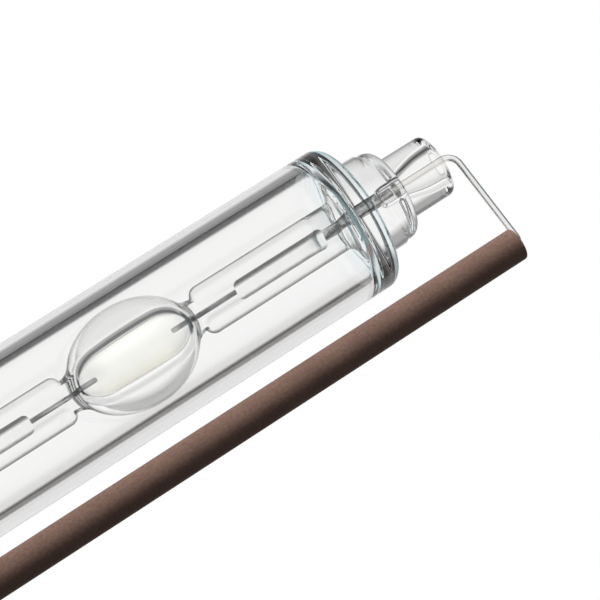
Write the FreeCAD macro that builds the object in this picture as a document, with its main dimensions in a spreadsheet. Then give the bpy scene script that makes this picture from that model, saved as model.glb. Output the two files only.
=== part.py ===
"""Xenon headlight bulb: a quartz discharge lamp on a round plastic cap.

The lamp stands on the rear rim of its cap. The origin is the centre of that rim, +Z runs up
the lamp axis to the glass tip, and the return wire comes down on the +X side. Millimetres.
"""
import FreeCAD
import Part
import Sketcher
import math
import os

doc = FreeCAD.newDocument("xenon_headlight_bulb")
sheet = doc.addObject("Spreadsheet::Sheet", "Sizes")
sheet_rows = []
places = {}
nodes = []


class Size:
    """A length or angle: its value now, and the expression that ties it to the sheet."""

    def __init__(self, value, text):
        self.value = value
        self.text = text

    def __add__(self, other):
        other = as_size(other)
        return Size(self.value + other.value, "(%s + %s)" % (self.text, other.text))

    def __sub__(self, other):
        other = as_size(other)
        return Size(self.value - other.value, "(%s - %s)" % (self.text, other.text))

    def __mul__(self, other):
        other = as_size(other)
        return Size(self.value * other.value, "(%s * %s)" % (self.text, other.text))

    def __truediv__(self, other):
        other = as_size(other)
        return Size(self.value / other.value, "(%s / %s)" % (self.text, other.text))

    def __neg__(self):
        return Size(-self.value, "(-%s)" % self.text)


def as_size(number):
    return number if isinstance(number, Size) else Size(float(number), repr(float(number)))


def sine(angle):
    return Size(math.sin(math.radians(angle.value)), "sin(%s * 1deg)" % angle.text)


def cosine(angle):
    return Size(math.cos(math.radians(angle.value)), "cos(%s * 1deg)" % angle.text)


def dimension(name, value):
    """Write one driving dimension into the sheet and return it."""
    row = len(sheet_rows) + 1
    sheet.set("A%d" % row, name)
    sheet.set("B%d" % row, str(value))
    sheet.setAlias("B%d" % row, name)
    sheet_rows.append(name)
    return Size(float(value), "Sizes.%s" % name)


# Heights over the rear rim
reference_height = dimension("reference_height", 27.6)
light_centre_length = dimension("light_centre_length", 27.1)

# Discharge vessel and its cavity
vessel_radius = dimension("vessel_radius", 3.07)
vessel_half_length = dimension("vessel_half_length", 3.95)
cavity_radius = dimension("cavity_radius", 1.25)
cavity_straight = dimension("cavity_straight", 1.5)
cavity_end = dimension("cavity_end", 1.7)
salt_thickness = dimension("salt_thickness", 0.06)

# Pinched ends, which run from the vessel to the round stems
pinch_thickness = dimension("pinch_thickness", 0.94)
pinch_start = dimension("pinch_start", 3.0)
pinch_end = dimension("pinch_end", 13.4)
pinch_turn = dimension("pinch_turn", 36)
bead_radius = dimension("bead_radius", 0.62)
bead_offset = dimension("bead_offset", 1.05)
bead_start = dimension("bead_start", 4.9)
bead_end = dimension("bead_end", 13.2)

# Round stems of the arc tube
stem_radius = dimension("stem_radius", 1.92)
stem_taper = dimension("stem_taper", 2.0)
front_stem_length = dimension("front_stem_length", 20.8)
rear_stem_length = dimension("rear_stem_length", 30.4)
stem_lip = dimension("stem_lip", 0.14)
bore_radius = dimension("bore_radius", 0.46)
bore_start = dimension("bore_start", 16.3)
bell_radius = dimension("bell_radius", 0.92)
bell_length = dimension("bell_length", 3.4)
bell_mouth = dimension("bell_mouth", 1.2)

# Outer bulb
bulb_radius = dimension("bulb_radius", 4.5)
bulb_wall = dimension("bulb_wall", 0.72)
front_cylinder_end = dimension("front_cylinder_end", 14.2)
rear_cylinder_end = dimension("rear_cylinder_end", 20.6)
shoulder_height = dimension("shoulder_height", 1.2)
shoulder_radius = dimension("shoulder_radius", 1.1)
shoulder_wall = dimension("shoulder_wall", 1.0)
inner_corner_radius = dimension("inner_corner_radius", 1.5)
neck_radius = dimension("neck_radius", 2.92)
neck_length = dimension("neck_length", 1.4)
lip_radius = dimension("lip_radius", 2.8)
lip_length = dimension("lip_length", 1.05)
lip_round = dimension("lip_round", 0.8)

# Electrodes, foils and leads
electrode_radius = dimension("electrode_radius", 0.15)
electrode_gap = dimension("electrode_gap", 4.2)
electrode_end = dimension("electrode_end", 8.0)
foil_width = dimension("foil_width", 1.5)
foil_thickness = dimension("foil_thickness", 0.05)
foil_start = dimension("foil_start", 6.8)
foil_end = dimension("foil_end", 12.8)
weld_flat = dimension("weld_flat", 0.03)
lead_radius = dimension("lead_radius", 0.28)
lead_start = dimension("lead_start", 12.0)
front_lead_end = dimension("front_lead_end", 17.2)

# Return wire and its ceramic tube
wire_radius = dimension("wire_radius", 0.2)
wire_rise = dimension("wire_rise", 22.0)
tip_bend = dimension("tip_bend", 0.75)
mouth_bend = dimension("mouth_bend", 0.4)
foot_bend = dimension("foot_bend", 0.8)
foot_drop = dimension("foot_drop", 1.4)
weld_gap = dimension("weld_gap", 0.02)
wire_clearance = dimension("wire_clearance", 0.06)
return_distance = dimension("return_distance", 6.6)
ceramic_radius = dimension("ceramic_radius", 0.98)
ceramic_bore = dimension("ceramic_bore", 0.5)
ceramic_depth = dimension("ceramic_depth", 8.4)
ceramic_round = dimension("ceramic_round", 0.15)
ceramic_clearance = dimension("ceramic_clearance", 0.04)

# Clamp sleeve and holder ring
sleeve_wall = dimension("sleeve_wall", 0.3)
sleeve_clearance = dimension("sleeve_clearance", 0.03)
sleeve_depth = dimension("sleeve_depth", 20.1)
sleeve_height = dimension("sleeve_height", 5.6)
sleeve_lip = dimension("sleeve_lip", 0.2)
sleeve_slit = dimension("sleeve_slit", 0.7)
ring_inner_radius = dimension("ring_inner_radius", 5.4)
ring_outer_radius = dimension("ring_outer_radius", 8.3)
ring_thickness = dimension("ring_thickness", 0.4)
holder_turn = dimension("holder_turn", 45)
tab_width = dimension("tab_width", 2.4)
tab_root_radius = dimension("tab_root_radius", 6.5)
tab_knee_rise = dimension("tab_knee_rise", 1.6)
tab_top_drop = dimension("tab_top_drop", 1.2)
hole_clearance = dimension("hole_clearance", 0.3)

# Cap
rim_radius = dimension("rim_radius", 9.9)
rim_height = dimension("rim_height", 18.0)
socket_wall = dimension("socket_wall", 2.3)
socket_depth = dimension("socket_depth", 12.5)
boss_radius = dimension("boss_radius", 3.3)
boss_bottom = dimension("boss_bottom", 8.0)
barrel_step = dimension("barrel_step", 1.7)
flange_radius = dimension("flange_radius", 16.0)
flange_thickness = dimension("flange_thickness", 2.6)
rest_height = dimension("rest_height", 0.4)
rest_radius = dimension("rest_radius", 1.3)
rest_circle = dimension("rest_circle", 13.4)
notch_width = dimension("notch_width", 4.0)
notch_depth = dimension("notch_depth", 1.8)
hub_radius = dimension("hub_radius", 10.5)
hub_height = dimension("hub_height", 3.2)
seat_radius = dimension("seat_radius", 8.5)
seat_height = dimension("seat_height", 1.4)
stem_clearance = dimension("stem_clearance", 0.2)
lug_reach = dimension("lug_reach", 1.7)
lug_width = dimension("lug_width", 3.4)
lug_rise = dimension("lug_rise", 0.8)
lug_height = dimension("lug_height", 2.4)
lug_root = dimension("lug_root", 0.6)
edge_bevel = dimension("edge_bevel", 0.4)
lead_clearance = dimension("lead_clearance", 0.1)

# Contacts
band_wall = dimension("band_wall", 0.3)
band_bottom = dimension("band_bottom", 11.0)
band_height = dimension("band_height", 5.6)
contact_radius = dimension("contact_radius", 1.5)
shank_radius = dimension("shank_radius", 1.2)
shank_gap = dimension("shank_gap", 0.4)
contact_wall = dimension("contact_wall", 0.4)
contact_bottom = dimension("contact_bottom", 4.6)
contact_top = dimension("contact_top", 14.5)
contact_end = dimension("contact_end", 0.6)

arc_height = reference_height + light_centre_length
flange_top = reference_height - rest_height
flange_bottom = flange_top - flange_thickness
sleeve_radius = bulb_radius + sleeve_clearance
sleeve_outer_radius = sleeve_radius + sleeve_wall
sleeve_bottom = arc_height - sleeve_depth
sleeve_top = sleeve_bottom + sleeve_height
tab_knee = sleeve_bottom + tab_knee_rise
tab_top = sleeve_top - tab_top_drop
hub_top = flange_top + hub_height
seat_top = flange_top + seat_height
ceramic_foot = hub_top - ceramic_depth
socket_radius = rim_radius - socket_wall
barrel_radius = rim_radius + barrel_step
lug_bottom = rim_height + lug_rise
foil_offset = electrode_radius - weld_flat + foil_thickness / 2
lead_offset = lead_radius - electrode_radius
wire_top = arc_height + wire_rise
ceramic_top = wire_top - wire_radius
stem_floor = arc_height - rear_stem_length
wire_foot = band_bottom + band_height - foot_drop
lead_x = -(lead_offset * sine(pinch_turn))
lead_y = lead_offset * cosine(pinch_turn)


def bind(thing, **sizes):
    """Tie properties of a feature to the sheet."""
    for name, value in sizes.items():
        value = as_size(value)
        setattr(thing, name, value.value)
        thing.setExpression(name, value.text)
    return thing


def place(thing, x=0, y=0, z=0, turn=0, axis=(0, 0, 1)):
    """Set and bind a feature's place and its turn about an axis."""
    x, y, z = as_size(x), as_size(y), as_size(z)
    spin = FreeCAD.Rotation(FreeCAD.Vector(*axis), as_size(turn).value)
    thing.Placement = FreeCAD.Placement(FreeCAD.Vector(x.value, y.value, z.value), spin)
    thing.setExpression("Placement.Base.x", x.text)
    thing.setExpression("Placement.Base.y", y.text)
    thing.setExpression("Placement.Base.z", z.text)
    if isinstance(turn, Size):
        thing.setExpression("Placement.Rotation.Angle", turn.text + " * 1deg")
    places[thing.Name] = (x, y, z)
    return thing


def swung(thing):
    """Turn an upright piece round the lamp axis with the pinches."""
    x, y, z = places[thing.Name]
    turned_x = x * cosine(pinch_turn) - y * sine(pinch_turn)
    turned_y = x * sine(pinch_turn) + y * cosine(pinch_turn)
    return place(thing, turned_x, turned_y, z, turn=pinch_turn)


def node(thing, label):
    """Name a finished piece of the lamp."""
    thing.Label = label
    nodes.append(thing)
    return thing


def rod(name, radius, length, x=0, y=0, z=0, turn=0, axis=(0, 0, 1)):
    thing = bind(doc.addObject("Part::Cylinder", name), Radius=radius, Height=length)
    return place(thing, x, y, z, turn, axis)


def cone(name, low_radius, high_radius, length, z):
    thing = doc.addObject("Part::Cone", name)
    bind(thing, Radius1=low_radius, Radius2=high_radius, Height=length)
    return place(thing, z=z)


def block(name, length, width, height, x, y, z):
    thing = bind(doc.addObject("Part::Box", name), Length=length, Width=width, Height=height)
    return place(thing, x, y, z)


def egg(name, half_length, radius, z):
    thing = doc.addObject("Part::Ellipsoid", name)
    bind(thing, Radius1=half_length, Radius2=radius, Radius3=radius)
    return place(thing, z=z)


def ball(name, radius, x, z):
    return place(bind(doc.addObject("Part::Sphere", name), Radius=radius), x=x, z=z)


def elbow(name, bend, radius, x, z, turn, axis):
    """A quarter bend of round wire in the lead's upright plane, curved round x, z."""
    thing = doc.addObject("Part::Torus", name)
    bind(thing, Radius1=bend, Radius2=radius)
    thing.Angle3 = 90
    return place(thing, x=x, y=lead_y, z=z, turn=turn, axis=axis)


def fused(name, *pieces):
    thing = doc.addObject("Part::MultiFuse", name)
    thing.Shapes = list(pieces)
    thing.Refine = True
    return thing


def cut(name, base, tool):
    thing = doc.addObject("Part::Cut", name)
    thing.Base = base
    thing.Tool = tool
    thing.Refine = True
    return thing


def plane_of(body, role):
    return next(item for item in body.Origin.OriginFeatures if item.Role == role)


def new_sketch(body, name, role, offset=0):
    """A sketch on one of the body's own origin planes, raised by an offset."""
    sketch = body.newObject("Sketcher::SketchObject", name)
    sketch.AttachmentSupport = [(plane_of(body, role), "")]
    sketch.MapMode = "FlatFace"
    offset = as_size(offset)
    sketch.AttachmentOffset = FreeCAD.Placement(FreeCAD.Vector(0, 0, offset.value), FreeCAD.Rotation())
    sketch.setExpression("AttachmentOffset.Base.z", offset.text)
    return sketch


def pin_point(sketch, geometry, end, x, y):
    """Hold one point of a sketch at x, y from its origin."""
    for kind, axis, value in (("DistanceX", -2, as_size(x)), ("DistanceY", -1, as_size(y))):
        if abs(value.value) < 1e-9:
            sketch.addConstraint(Sketcher.Constraint("PointOnObject", geometry, end, axis))
        else:
            held = Sketcher.Constraint(kind, -1, 1, geometry, end, value.value)
            index = sketch.addConstraint(held)
            sketch.setExpression("Constraints[%d]" % index, value.text)


def outline(sketch, corners):
    """A closed outline of straight lines through corners tied to the sheet."""
    points = [FreeCAD.Vector(as_size(x).value, as_size(y).value, 0) for x, y in corners]
    first = sketch.GeometryCount
    count = len(points)
    for index, point in enumerate(points):
        sketch.addGeometry(Part.LineSegment(point, points[(index + 1) % count]), False)
    for index in range(count):
        following = first + (index + 1) % count
        sketch.addConstraint(Sketcher.Constraint("Coincident", first + index, 2, following, 1))
    for index, (x, y) in enumerate(corners):
        pin_point(sketch, first + index, 1, x, y)


def ring(sketch, x, y, radius):
    """A circle tied to the sheet."""
    radius = as_size(radius)
    centre = FreeCAD.Vector(as_size(x).value, as_size(y).value, 0)
    upward = FreeCAD.Vector(0, 0, 1)
    index = sketch.addGeometry(Part.Circle(centre, upward, radius.value), False)
    pin_point(sketch, index, 3, x, y)
    held = sketch.addConstraint(Sketcher.Constraint("Radius", index, radius.value))
    sketch.setExpression("Constraints[%d]" % held, radius.text)


def turned(body, name, corners, cutting=False):
    """A solid of revolution about the lamp axis, or a groove of that form."""
    sketch = new_sketch(body, name + "_profile", "XZ_Plane")
    outline(sketch, corners)
    kind = "PartDesign::Groove" if cutting else "PartDesign::Revolution"
    feature = body.newObject(kind, name)
    feature.Profile = sketch
    feature.ReferenceAxis = (sketch, ["V_Axis"])
    feature.Angle = 360
    return feature


def extruded(body, name, sketch, length, cutting=False, up=True, both_ways=False):
    """A pad or a pocket of a sketch, along the sketch's normal or against it."""
    kind = "PartDesign::Pocket" if cutting else "PartDesign::Pad"
    feature = body.newObject(kind, name)
    feature.Profile = sketch
    bind(feature, Length=length)
    feature.Midplane = both_ways
    feature.Reversed = up if cutting else not up
    return feature


def repeated(body, name, feature, sketch, count):
    pattern = body.newObject("PartDesign::PolarPattern", name)
    pattern.Originals = [feature]
    pattern.Axis = (sketch, ["N_Axis"])
    pattern.Angle = 360
    pattern.Occurrences = count
    body.Tip = pattern
    return pattern


def circle_edges(feature, rims):
    """Names of the circular edges about the lamp axis at the given radii and heights."""
    doc.recompute()
    found = []
    for index, edge in enumerate(feature.Shape.Edges, start=1):
        curve = edge.Curve
        if not isinstance(curve, Part.Circle) or math.hypot(curve.Center.x, curve.Center.y) > 1e-6:
            continue
        for radius, height in rims:
            if abs(curve.Radius - radius.value) < 1e-4 and abs(curve.Center.z - height.value) < 1e-4:
                found.append("Edge%d" % index)
    return found


def rounded(body, name, feature, rims, radius):
    fillet = body.newObject("PartDesign::Fillet", name)
    fillet.Base = (feature, circle_edges(feature, rims))
    bind(fillet, Radius=radius)
    return fillet


def bevelled(body, name, feature, rims, size):
    chamfer = body.newObject("PartDesign::Chamfer", name)
    chamfer.Base = (feature, circle_edges(feature, rims))
    bind(chamfer, Size=size)
    return chamfer


ENDS = (("front", 1), ("rear", -1))


def along(sign, near, far):
    """Lower height and length of a stretch of the lamp axis, seen from the light centre."""
    low = arc_height + near if sign > 0 else arc_height - far
    return low, far - near


def cavity_form(name, skin):
    """The barrel-shaped space of the vessel, less a skin."""
    radius = cavity_radius - skin
    pieces = [rod(name + "_barrel", radius, cavity_straight * 2, z=arc_height - cavity_straight)]
    for end, sign in ENDS:
        height = arc_height + cavity_straight * sign
        pieces.append(egg("%s_%s" % (name, end), cavity_end - skin, radius, height))
    return fused(name, *pieces)


def electrode_form(name, sign):
    low, length = along(sign, electrode_gap / 2, electrode_end)
    return rod(name, electrode_radius, length, z=low)


def foil_form(name, sign):
    low, length = along(sign, foil_start, foil_end)
    back = -foil_offset - foil_thickness / 2
    return block(name, foil_width, foil_thickness, length, -foil_width / 2, back, low)


def lead_form(name, sign, end):
    low, length = along(sign, lead_start, end)
    return rod(name, lead_radius, length, y=lead_offset, z=low)


def pinch_form(name, sign):
    """A flat seal with a rolled bead along each edge."""
    low, length = along(sign, pinch_start, pinch_end)
    half = pinch_thickness / 2
    web = block(name + "_web", bead_offset * 2, pinch_thickness, length, -bead_offset, -half, low)
    pieces = [web]
    bead_low, bead_length = along(sign, bead_start, bead_end)
    for side in (-1, 1):
        x = bead_offset * side
        pieces.append(rod(name + "_bead", bead_radius, bead_length, x=x, z=bead_low))
        pieces.append(ball(name + "_bead_low", bead_radius, x, bead_low))
        pieces.append(ball(name + "_bead_high", bead_radius, x, bead_low + bead_length))
    return fused(name, *pieces)


def bore_form(name, sign, end):
    """The open bore of a stem, which flares to a bell at the rim."""
    low, length = along(sign, bore_start, end)
    mouth_low, mouth_length = along(sign, end - bell_mouth, end)
    bell_low, flare_length = along(sign, end - bell_length, end - bell_mouth)
    radii = (bore_radius, bell_radius) if sign > 0 else (bell_radius, bore_radius)
    hole = rod(name + "_hole", bore_radius, length, z=low)
    flare = cone(name + "_flare", radii[0], radii[1], flare_length, bell_low)
    return fused(name, hole, flare, rod(name + "_mouth", bell_radius, mouth_length, z=mouth_low))


def softened(name, base, heights, radius):
    """Round the outer rim of a turned piece at the given heights."""
    doc.recompute()
    rims = []
    for index, edge in enumerate(base.Shape.Edges, start=1):
        curve = edge.Curve
        if isinstance(curve, Part.Circle) and any(abs(curve.Center.z - h.value) < 1e-4 for h in heights):
            rims.append((curve.Radius, index))
    widest = max(rim for rim, index in rims)
    thing = doc.addObject("Part::Fillet", name)
    thing.Base = base
    thing.Edges = [(index, radius.value, radius.value) for rim, index in rims if rim > widest - 1e-4]
    return thing


def stem_form(name, sign, end):
    """A round stem that swells out of the pinch and ends in a melted rim."""
    taper_low, taper_length = along(sign, pinch_end - stem_taper, pinch_end)
    low, length = along(sign, pinch_end, end)
    throat = pinch_thickness / 2
    radii = (throat, stem_radius) if sign > 0 else (stem_radius, throat)
    stem = rod(name + "_tube", stem_radius, length, z=low)
    rim = softened(name + "_rim", stem, [arc_height + end * sign], stem_lip)
    return fused(name, rim, cone(name + "_taper", radii[0], radii[1], taper_length, taper_low))


# Arc tube: vessel, pinches and stems in one piece of quartz, closed round the metal parts
STEM_ENDS = {"front": front_stem_length, "rear": rear_stem_length}
LEAD_ENDS = {"front": front_lead_end, "rear": arc_height - contact_bottom}
glass_parts = [egg("vessel", vessel_half_length, vessel_radius, arc_height)]
hollow_parts = [cavity_form("cavity", as_size(0))]
for end, sign in ENDS:
    glass_parts.append(pinch_form(end + "_pinch", sign))
    glass_parts.append(stem_form(end + "_stem", sign, STEM_ENDS[end]))
    hollow_parts.append(bore_form(end + "_bore", sign, STEM_ENDS[end]))
    hollow_parts.append(electrode_form(end + "_electrode_seat", sign))
    hollow_parts.append(foil_form(end + "_foil_seat", sign))
    hollow_parts.append(lead_form(end + "_lead_seat", sign, LEAD_ENDS[end]))
arc_tube = cut("arc_tube_glass", fused("arc_tube_form", *glass_parts),
               fused("arc_tube_hollows", *hollow_parts))
node(place(arc_tube, turn=pinch_turn), "arc_tube")

# Salt deposit: a thin shell on the cavity's wall, open where the electrodes pass
deposit_half = cavity_straight + cavity_end
deposit_bore = rod("deposit_bore", electrode_radius, deposit_half * 2, z=arc_height - deposit_half)
deposit = cut("deposit", cavity_form("deposit_outside", as_size(0)),
              fused("deposit_inside", cavity_form("deposit_space", salt_thickness), deposit_bore))
node(deposit, "salt_deposit")

# Electrode, foil and lead of each end, welded flat against one another
for end, sign in ENDS:
    strip = node(swung(foil_form(end + "_foil_strip", sign)), end + "_foil")
    electrode = electrode_form(end + "_electrode_rod", sign)
    node(cut(end + "_electrode_welded", electrode, strip), end + "_electrode")
    lead = swung(lead_form(end + "_lead_rod", sign, LEAD_ENDS[end]))
    node(cut(end + "_lead_welded", lead, strip), end + "_lead")

# Outer bulb: a quartz sleeve shrunk on to the stems, with a melted lip at each end
bulb = doc.addObject("PartDesign::Body", "bulb")
bulb_bore = bulb_radius - bulb_wall
outer_ends = {"front": front_cylinder_end, "rear": rear_cylinder_end}
bulb_corners = {}
for end, sign in ENDS:
    shoulder = outer_ends[end] + shoulder_height
    lip = shoulder + neck_length
    bulb_corners[end] = [
        (stem_radius, arc_height + (shoulder - shoulder_wall) * sign),
        (stem_radius, arc_height + (lip + lip_length) * sign),
        (lip_radius, arc_height + (lip + lip_length) * sign),
        (lip_radius, arc_height + lip * sign),
        (neck_radius, arc_height + lip * sign),
        (neck_radius, arc_height + shoulder * sign),
        (bulb_radius, arc_height + shoulder * sign),
    ]
front_inside = arc_height + (front_cylinder_end + shoulder_height - shoulder_wall)
rear_inside = arc_height - (rear_cylinder_end + shoulder_height - shoulder_wall)
bulb_outline = [(bulb_bore, front_inside)] + bulb_corners["front"]
bulb_outline += list(reversed(bulb_corners["rear"])) + [(bulb_bore, rear_inside)]
bulb_form = turned(bulb, "bulb_form", bulb_outline)
shoulder_rims = [(bulb_radius, bulb_corners[end][6][1]) for end, sign in ENDS]
lip_rims = [(lip_radius, bulb_corners[end][2][1]) for end, sign in ENDS]
inner_rims = [(bulb_bore, front_inside), (bulb_bore, rear_inside)]
bulb_shoulders = rounded(bulb, "bulb_shoulders", bulb_form, shoulder_rims, shoulder_radius)
bulb_lips = rounded(bulb, "bulb_lips", bulb_shoulders, lip_rims, lip_round)
bulb.Tip = rounded(bulb, "bulb_inside", bulb_lips, inner_rims, inner_corner_radius)
node(bulb, "outer_bulb")


def return_path(name, radius, start, foot_end, whole):
    """Straight runs and quarter bends of the return wire, or of its channel in the cap."""
    across = return_distance - mouth_bend
    drop = wire_top - mouth_bend
    low = wire_foot + foot_bend
    pieces = [
        rod(name + "_drop", radius, start - low, x=return_distance, y=lead_y, z=low),
        elbow(name + "_foot", foot_bend, radius, return_distance + foot_bend, low, 180, (0, 1, -1)),
        rod(name + "_end", radius, foot_end - return_distance - foot_bend,
            x=return_distance + foot_bend, y=lead_y, z=wire_foot, turn=90, axis=(0, 1, 0)),
    ]
    if whole:
        weld = arc_height + front_lead_end
        rise = wire_top - tip_bend
        pieces.append(rod(name + "_rise", radius, rise - weld, x=lead_x, y=lead_y, z=weld))
        pieces.append(elbow(name + "_tip", tip_bend, radius, lead_x + tip_bend, rise, 180, (0, 1, 1)))
        pieces.append(rod(name + "_span", radius, across - lead_x - tip_bend,
                          x=lead_x + tip_bend, y=lead_y, z=wire_top, turn=90, axis=(0, 1, 0)))
        pieces.append(elbow(name + "_mouth", mouth_bend, radius, across, drop, 90, (1, 0, 0)))
    return fused(name, *pieces)


# Return wire: butt-welded to the front lead, over the tip, down the ceramic tube to the band
node(return_path("return_run", wire_radius, wire_top - mouth_bend, rim_radius - weld_gap, True),
     "return_wire")

# Ceramic tube that insulates the return wire
ceramic_length = ceramic_top - ceramic_foot
ceramic_blank = rod("ceramic_blank", ceramic_radius, ceramic_length, x=return_distance, z=ceramic_foot)
ceramic_rim = softened("ceramic_rim", ceramic_blank, [ceramic_top, ceramic_foot], ceramic_round)
ceramic_hole = rod("ceramic_hole", ceramic_bore, ceramic_length, x=return_distance, z=ceramic_foot)
node(cut("ceramic", ceramic_rim, ceramic_hole), "ceramic_tube")

# Clamp sleeve: a split steel band round the bulb, with a lip turned out at each edge
sleeve = doc.addObject("PartDesign::Body", "sleeve")
sleeve_form = turned(sleeve, "sleeve_form", [
    (sleeve_radius, sleeve_bottom),
    (sleeve_outer_radius + sleeve_lip, sleeve_bottom),
    (sleeve_outer_radius, sleeve_bottom + sleeve_lip),
    (sleeve_outer_radius, sleeve_top - sleeve_lip),
    (sleeve_outer_radius + sleeve_lip, sleeve_top),
    (sleeve_radius, sleeve_top),
])
slit = new_sketch(sleeve, "slit_outline", "XY_Plane", sleeve_bottom)
outline(slit, [
    (-(sleeve_outer_radius + sleeve_lip * 2), -sleeve_slit / 2),
    (-(sleeve_radius / 2), -sleeve_slit / 2),
    (-(sleeve_radius / 2), sleeve_slit / 2),
    (-(sleeve_outer_radius + sleeve_lip * 2), sleeve_slit / 2),
])
sleeve.Tip = extruded(sleeve, "slit", slit, sleeve_top - sleeve_bottom, cutting=True)
node(sleeve, "clamp_sleeve")

# Holder ring: a stamped steel ring in the cap, with four tabs bent up and in to the sleeve
holder = doc.addObject("PartDesign::Body", "holder")
ring_top = seat_top + ring_thickness
holder_disc = new_sketch(holder, "holder_disc_outline", "XY_Plane", seat_top)
ring(holder_disc, 0, 0, ring_outer_radius)
ring(holder_disc, 0, 0, ring_inner_radius)
extruded(holder, "holder_disc", holder_disc, ring_thickness)
tab_side = new_sketch(holder, "tab_side", "XZ_Plane")
outline(tab_side, [
    (tab_root_radius, seat_top),
    (tab_root_radius + ring_thickness, seat_top),
    (sleeve_outer_radius + ring_thickness, tab_knee),
    (sleeve_outer_radius + ring_thickness, tab_top),
    (sleeve_outer_radius, tab_top),
    (sleeve_outer_radius, tab_knee),
])
tab = extruded(holder, "tab", tab_side, tab_width, both_ways=True)
repeated(holder, "tabs", tab, holder_disc, 4)
ceramic_way = new_sketch(holder, "ceramic_way_outline", "XY_Plane", seat_top)
ring(ceramic_way, return_distance * cosine(holder_turn), -(return_distance * sine(holder_turn)),
     ceramic_radius + hole_clearance)
holder.Tip = extruded(holder, "ceramic_way", ceramic_way, ring_thickness, cutting=True)
node(place(holder, turn=holder_turn), "holder_ring")

# Cap: one moulding with hub, flange, barrel and the socket for the plug
cap = doc.addObject("PartDesign::Body", "cap_moulding")
stem_well = stem_radius + stem_clearance
lead_way = lead_radius + lead_offset + lead_clearance
cap_form = turned(cap, "cap_form", [
    (socket_radius, 0),
    (rim_radius, 0),
    (rim_radius, rim_height),
    (barrel_radius, rim_height),
    (barrel_radius, flange_bottom),
    (flange_radius, flange_bottom),
    (flange_radius, flange_top),
    (hub_radius, flange_top),
    (hub_radius, hub_top),
    (seat_radius, hub_top),
    (seat_radius, seat_top),
    (stem_well, seat_top),
    (stem_well, stem_floor),
    (lead_way, stem_floor),
    (lead_way, contact_top),
    (shank_radius, contact_top),
    (shank_radius, boss_bottom),
    (boss_radius, boss_bottom),
    (boss_radius, socket_depth),
    (socket_radius, socket_depth),
])
cap_bevels = bevelled(cap, "cap_bevels", cap_form, [
    (rim_radius, as_size(0)),
    (socket_radius, as_size(0)),
    (barrel_radius, rim_height),
    (flange_radius, flange_bottom),
    (flange_radius, flange_top),
    (hub_radius, hub_top),
    (boss_radius, boss_bottom),
], edge_bevel)
rests = new_sketch(cap, "rest_outline", "XY_Plane", flange_top)
ring(rests, rest_circle, 0, rest_radius)
rest = extruded(cap, "rest", rests, rest_height)
repeated(cap, "rests", rest, rests, 3)
lug_outline = new_sketch(cap, "lug_outline", "XY_Plane", lug_bottom)
outline(lug_outline, [
    (barrel_radius - lug_root, -lug_width / 2),
    (barrel_radius + lug_reach, -lug_width / 2),
    (barrel_radius + lug_reach, lug_width / 2),
    (barrel_radius - lug_root, lug_width / 2),
])
lug = extruded(cap, "lug", lug_outline, lug_height)
repeated(cap, "lugs", lug, lug_outline, 4)
notch_outline = new_sketch(cap, "notch_outline", "XY_Plane", flange_top)
outline(notch_outline, [
    (-notch_width / 2, flange_radius - notch_depth),
    (notch_width / 2, flange_radius - notch_depth),
    (notch_width / 2, flange_radius + notch_depth),
    (-notch_width / 2, flange_radius + notch_depth),
])
notch = extruded(cap, "notch", notch_outline, flange_thickness, cutting=True, up=False)
repeated(cap, "notches", notch, notch_outline, 2)
channel = return_path("wire_channel", wire_radius + wire_clearance, ceramic_foot,
                      rim_radius + wire_radius, False)
ceramic_socket = rod("ceramic_socket", ceramic_radius + ceramic_clearance, hub_top - ceramic_foot,
                     x=return_distance, z=ceramic_foot)
node(cut("cap_cut", cap, fused("cap_ways", channel, ceramic_socket)), "lamp_cap")

# Side contact: a brass band pressed round the rear of the cap
band = doc.addObject("PartDesign::Body", "band")
band_sketch = new_sketch(band, "band_outline", "XY_Plane", band_bottom)
ring(band_sketch, 0, 0, rim_radius + band_wall)
ring(band_sketch, 0, 0, rim_radius)
band.Tip = extruded(band, "band_wall", band_sketch, band_height)
node(band, "side_contact")

# Centre contact: a turned brass pin, with a hollow shank pressed into the boss and a closed
# nose round the rear lead
contact = doc.addObject("PartDesign::Body", "contact")
contact_bore = shank_radius - contact_wall
shank_bottom = boss_bottom - shank_gap
contact_form = turned(contact, "contact_form", [
    (lead_radius + lead_offset, contact_bottom),
    (contact_radius, contact_bottom),
    (contact_radius, shank_bottom),
    (shank_radius, shank_bottom),
    (shank_radius, contact_top),
    (contact_bore, contact_top),
    (contact_bore, contact_bottom + contact_end),
    (lead_radius + lead_offset, contact_bottom + contact_end),
])
contact.Tip = bevelled(contact, "contact_nose", contact_form, [(contact_radius, contact_bottom)],
                       contact_end / 2)
node(contact, "centre_contact")

doc.recompute()
for thing in doc.Objects:
    if "Invalid" in thing.State or "Error" in thing.State:
        raise RuntimeError("%s did not build: %s" % (thing.Label, thing.State))
os.makedirs("parts", exist_ok=True)
for thing in nodes:
    if thing.Shape.isNull() or not thing.Shape.isValid():
        raise RuntimeError("%s has no valid shape" % thing.Label)
    if len(thing.Shape.Solids) != 1:
        raise RuntimeError("%s has %d solids" % (thing.Label, len(thing.Shape.Solids)))
for thing in nodes:
    thing.Shape.exportStep("parts/%s.step" % thing.Label)
    print("%-18s %9.3f mm3" % (thing.Label, thing.Shape.Volume))
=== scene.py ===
import math

import bmesh
import bpy
import numpy as np
from mathutils import Matrix, Vector


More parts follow.
